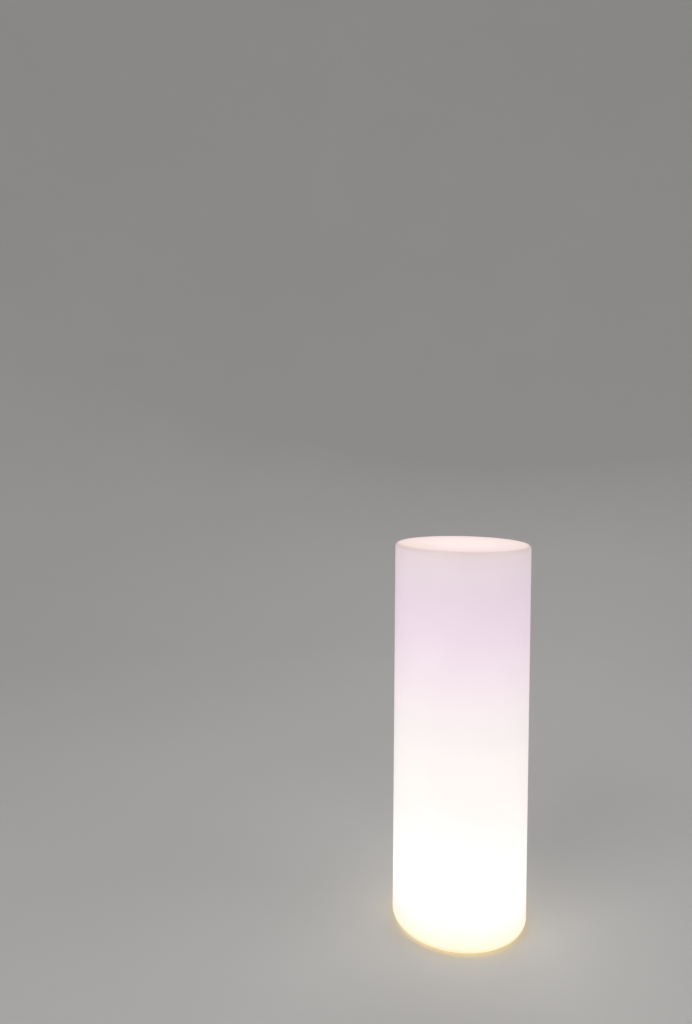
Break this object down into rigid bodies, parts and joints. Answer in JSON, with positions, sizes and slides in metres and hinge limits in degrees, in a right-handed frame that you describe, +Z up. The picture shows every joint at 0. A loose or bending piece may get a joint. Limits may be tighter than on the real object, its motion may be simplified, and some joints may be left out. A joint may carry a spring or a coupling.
{
  "type": "led light tube",
  "caption": "Free-standing round light column: a glowing translucent shell with a twist-in battery LED unit in its base.",
  "frame": {"origin": "on the floor under the column's axis, at the underside of its feet", "axes": "+Z up along the column's axis, +X to the right and +Y away from a viewer in front; the buttons are on the +Y side of the base and the charging door on the -Y side"},
  "size_m": [0.3519, 0.352, 1],
  "materials": {
    "shell_pe": "translucent rotomoulded polyethylene, lit from inside",
    "foot_rubber": "matt moulded rubber",
    "ring_plastic": "black moulded polyamide, fine texture",
    "screw_steel": "zinc-plated",
    "insert_brass": "turned",
    "seal_rubber": "closed-cell rubber",
    "unit_plastic": "white moulded ABS, fine texture",
    "inner_plastic": "black moulded ABS",
    "button_rubber": "light grey silicone",
    "spring_steel": "drawn wire",
    "pipe_plastic": "clear moulded acrylic",
    "vent_plastic": "black moulded polypropylene",
    "board_green": "glass-epoxy with green solder mask",
    "board_white": "aluminium-core board with white solder mask",
    "chip_plastic": "black moulded package",
    "connector_plastic": "ivory nylon",
    "can_aluminium": "bright can",
    "cell_wrap": "steel can in a blue PVC sleeve",
    "nickel": "nickel strip",
    "jack_metal": "nickel-plated",
    "plate_aluminium": "turned and satin anodised",
    "led_ceramic": "white LED package",
    "led_phosphor": "phosphor window, lit",
    "dome_plastic": "opal polycarbonate, lit from inside",
    "lead_black": "two-core sheathed cable",
    "cable_grey": "round sheathed cable"
  },
  "bodies": {
    "lamp_body": {"diffuser_shell": "shell_pe", "foot_1": "foot_rubber", "foot_2": "foot_rubber", "foot_3": "foot_rubber", "foot_4": "foot_rubber", "foot_5": "foot_rubber", "foot_6": "foot_rubber", "lock_ring": "ring_plastic", "ring_screws": "screw_steel", "threaded_inserts": "insert_brass", "ring_gasket": "seal_rubber"},
    "led_unit": {"unit_base": "unit_plastic", "unit_seal": "seal_rubber", "vent_plug": "vent_plastic", "indicator_pipe": "pipe_plastic", "button_guide": "inner_plastic", "guide_screws": "screw_steel", "control_board": "board_green", "control_board_screws": "screw_steel", "button_switches": "chip_plastic", "indicator_led": "led_ceramic", "controller_chip": "chip_plastic", "radio_module": "can_aluminium", "board_chokes": "chip_plastic", "power_transistors": "chip_plastic", "capacitors": "can_aluminium", "board_connectors": "connector_plastic", "battery_cradle": "inner_plastic", "cradle_screws": "screw_steel", "battery_cells": "cell_wrap", "nickel_strips": "nickel", "battery_clamp": "inner_plastic", "clamp_screws": "screw_steel", "protection_board": "board_green", "protection_board_screws": "screw_steel", "dc_jack": "jack_metal", "jack_nut": "jack_metal", "door_pin": "spring_steel", "heat_plate_seal": "seal_rubber", "heat_plate": "plate_aluminium", "led_board": "board_white", "led_board_screws": "screw_steel", "led_packages": "led_ceramic", "led_windows": "led_phosphor", "dome_seal": "seal_rubber", "light_dome": "dome_plastic", "dome_clamp_ring": "inner_plastic", "head_screws": "screw_steel", "cable_grommet": "seal_rubber", "battery_lead": "lead_black", "charge_lead": "lead_black", "supply_lead": "lead_black", "led_cable": "cable_grey"},
    "power_button": {"power_button": "button_rubber", "power_button_spring": "spring_steel"},
    "mode_button": {"mode_button": "button_rubber", "mode_button_spring": "spring_steel"},
    "charge_door": {"charge_door": "foot_rubber"}
  },
  "joints": [
    {"name": "unit_twist", "type": "hinge", "parent": "lamp_body", "child": "led_unit", "pos_m": [0, 0, 0.021], "axis": [0, 0, 1], "range_deg": [-40, 0]},
    {"name": "power_press", "type": "slide", "parent": "led_unit", "child": "power_button", "axis": [0, 0, 1], "range_m": [0, 0.0012], "stiffness_N_per_m": 1500, "springref_m": -0.0008, "deforming": ["power_button_spring"]},
    {"name": "mode_press", "type": "slide", "parent": "led_unit", "child": "mode_button", "axis": [0, 0, 1], "range_m": [0, 0.0012], "stiffness_N_per_m": 1500, "springref_m": -0.0008, "deforming": ["mode_button_spring"]},
    {"name": "charge_door_hinge", "type": "hinge", "parent": "led_unit", "child": "charge_door", "pos_m": [0.024, -0.0492, 0.0188], "axis": [1, 0, 0], "range_deg": [0, 95]}
  ]
}
